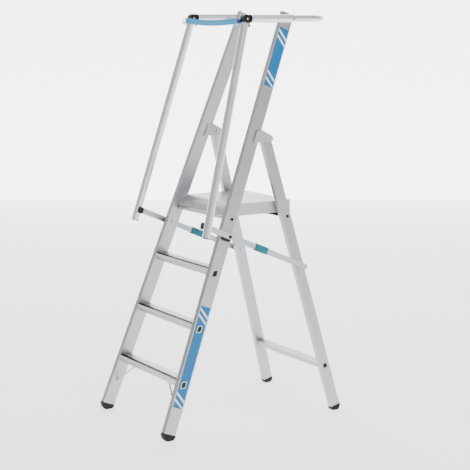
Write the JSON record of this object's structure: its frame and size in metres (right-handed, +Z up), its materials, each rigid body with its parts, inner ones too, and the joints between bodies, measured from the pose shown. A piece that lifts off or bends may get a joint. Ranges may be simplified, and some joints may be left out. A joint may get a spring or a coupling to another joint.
{
  "type": "platform step ladder",
  "caption": "Folding aluminium platform step ladder with three flat treads, a standing platform, a high guard rail with side handrails, sliding-lock side struts and a webbing gate strap.",
  "frame": {"origin": "Centre of the footprint on the floor, at the bottom of the bounding box.", "axes": "+Z up, +X towards the climber's right, -Y towards the climbing side; the rear legs are at +Y."},
  "size_m": [0.6614, 0.9278, 1.7999],
  "materials": {
    "aluminium_profile": "satin extruded aluminium, fine lines along the profile",
    "aluminium_tread": "extruded aluminium, ribbed",
    "black_rubber": "black moulded rubber",
    "black_plastic": "black moulded plastic, fine grain",
    "plated_steel": "zinc plated steel",
    "dark_steel": "black coated steel flat",
    "platform_skin": "aluminium sheet with fine cross grooves",
    "teal_plastic": "teal moulded plastic",
    "aluminium_tube": "bright drawn aluminium tube",
    "blue_webbing": "woven webbing",
    "dark_blue_webbing": "woven webbing"
  },
  "bodies": {
    "front_frame": {"front_stile_left": "aluminium_profile", "front_stile_right": "aluminium_profile", "tread_low": "aluminium_tread", "tread_middle": "aluminium_tread", "tread_upper": "aluminium_tread", "tread_strips": "black_rubber", "tread_plugs": "black_plastic", "low_brace_left": "plated_steel", "low_brace_right": "plated_steel", "front_boot_left": "black_rubber", "front_boot_right": "black_rubber", "stile_hinge_left": "aluminium_profile", "stile_hinge_right": "aluminium_profile", "hinge_bolts": "plated_steel", "platform_bolts": "dark_steel", "stile_spacer_left": "black_plastic", "stile_spacer_right": "black_plastic", "stile_screws": "plated_steel", "rail_bolts": "plated_steel", "rail_spacers": "black_plastic"},
    "rear_frame": {"rear_leg_left": "aluminium_profile", "rear_leg_right": "aluminium_profile", "rear_rung": "aluminium_tread", "rung_plugs": "black_plastic", "rear_boot_left": "black_rubber", "rear_boot_right": "black_rubber", "leg_spacer_left": "black_plastic", "leg_spacer_right": "black_plastic", "platform_pegs": "dark_steel", "leg_screws": "plated_steel"},
    "platform": {"platform_tray": "platform_skin", "platform_tube": "plated_steel", "link_rivets": "plated_steel"},
    "platform_link_left": {"platform_link_left": "dark_steel"},
    "platform_link_right": {"platform_link_right": "dark_steel"},
    "front_strut_left": {"strut_front_left": "aluminium_profile", "strut_end_left": "black_plastic"},
    "front_strut_right": {"strut_front_right": "aluminium_profile", "strut_end_right": "black_plastic"},
    "rear_strut_left": {"strut_rear_left": "aluminium_profile"},
    "rear_strut_right": {"strut_rear_right": "aluminium_profile"},
    "lock_sleeve_left": {"lock_sleeve_left": "teal_plastic"},
    "lock_sleeve_right": {"lock_sleeve_right": "teal_plastic"},
    "guard_rail": {"rail_side_left": "aluminium_tube", "rail_side_right": "aluminium_tube", "rail_bow": "aluminium_tube", "rail_knuckle_left": "black_plastic", "rail_knuckle_right": "black_plastic"},
    "handrail_left": {"handrail_left": "aluminium_tube", "handrail_fork_left": "black_plastic", "handrail_cap_left": "black_plastic", "strap_eye": "plated_steel"},
    "handrail_right": {"handrail_right": "aluminium_tube", "handrail_fork_right": "black_plastic", "handrail_cap_right": "black_plastic", "strap": "blue_webbing", "strap_tab": "dark_blue_webbing", "strap_buckle": "plated_steel", "strap_hook": "plated_steel"},
    "hook_gate": {"hook_gate": "plated_steel"}
  },
  "joints": [
    {"name": "rear_fold", "type": "hinge", "parent": "front_frame", "child": "rear_frame", "pos_m": [0, 0.1044, 1.257], "axis": [-1, 0, 0], "range_deg": [0, 18.13]},
    {"name": "platform_fold", "type": "hinge", "parent": "front_frame", "child": "platform", "pos_m": [0, -0.0846, 0.916], "axis": [1, 0, 0], "range_deg": [0, 35.04]},
    {"name": "rail_fold", "type": "hinge", "parent": "front_frame", "child": "guard_rail", "pos_m": [0, 0.2324, 1.768], "axis": [1, 0, 0], "range_deg": [0, 46]},
    {"name": "platform_link_fold_left", "type": "hinge", "parent": "platform", "child": "platform_link_left", "pos_m": [-0.1875, 0.0624, 0.942], "axis": [1, 0, 0], "range_deg": [-82.68, 0]},
    {"name": "front_strut_fold_left", "type": "hinge", "parent": "front_frame", "child": "front_strut_left", "pos_m": [-0.272, -0.1176, 0.848], "axis": [1, 0, 0], "range_deg": [0, 70.03]},
    {"name": "rear_strut_fold_left", "type": "hinge", "parent": "front_strut_left", "child": "rear_strut_left", "pos_m": [-0.272, -0.008, 0.802], "axis": [1, 0, 0], "range_deg": [-114.14, 0]},
    {"name": "lock_slide_left", "type": "slide", "parent": "rear_strut_left", "child": "lock_sleeve_left", "axis": [0, 0.918, -0.3965], "range_m": [0, 0.0455]},
    {"name": "handrail_fold_left", "type": "hinge", "parent": "guard_rail", "child": "handrail_left", "pos_m": [-0.222, -0.0056, 1.768], "axis": [1, 0, 0], "range_deg": [-48.65, 0]},
    {"name": "platform_link_fold_right", "type": "hinge", "parent": "platform", "child": "platform_link_right", "pos_m": [0.1875, 0.0624, 0.942], "axis": [1, 0, 0], "range_deg": [-82.68, 0]},
    {"name": "front_strut_fold_right", "type": "hinge", "parent": "front_frame", "child": "front_strut_right", "pos_m": [0.272, -0.1176, 0.848], "axis": [1, 0, 0], "range_deg": [0, 70.03]},
    {"name": "rear_strut_fold_right", "type": "hinge", "parent": "front_strut_right", "child": "rear_strut_right", "pos_m": [0.272, -0.008, 0.802], "axis": [1, 0, 0], "range_deg": [-114.14, 0]},
    {"name": "lock_slide_right", "type": "slide", "parent": "rear_strut_right", "child": "lock_sleeve_right", "axis": [0, 0.918, -0.3965], "range_m": [0, 0.0455]},
    {"name": "handrail_fold_right", "type": "hinge", "parent": "guard_rail", "child": "handrail_right", "pos_m": [0.222, -0.0056, 1.768], "axis": [1, 0, 0], "range_deg": [-48.65, 0]},
    {"name": "hook_gate_swing", "type": "hinge", "parent": "handrail_right", "child": "hook_gate", "pos_m": [-0.2542, -0.0355, 1.7502], "axis": [0, 1, 0], "range_deg": [0, 25], "stiffness_Nm_per_rad": 0.02, "springref_deg": -17.19}
  ],
  "couplings": [
    {"joint": "platform_fold", "follows": "rear_fold", "ratio": 1.9317},
    {"joint": "rail_fold", "follows": "rear_fold", "ratio": 2.536},
    {"joint": "platform_link_fold_left", "follows": "rear_fold", "ratio": -4.5592},
    {"joint": "front_strut_fold_left", "follows": "rear_fold", "ratio": 3.8618},
    {"joint": "rear_strut_fold_left", "follows": "rear_fold", "ratio": -6.2943},
    {"joint": "lock_slide_left", "follows": "rear_fold", "m_per_rad": 0.14221},
    {"joint": "handrail_fold_left", "follows": "rear_fold", "ratio": -2.6821},
    {"joint": "platform_link_fold_right", "follows": "rear_fold", "ratio": -4.5592},
    {"joint": "front_strut_fold_right", "follows": "rear_fold", "ratio": 3.8618},
    {"joint": "rear_strut_fold_right", "follows": "rear_fold", "ratio": -6.2943},
    {"joint": "lock_slide_right", "follows": "rear_fold", "m_per_rad": 0.14221},
    {"joint": "handrail_fold_right", "follows": "rear_fold", "ratio": -2.6821}
  ]
}
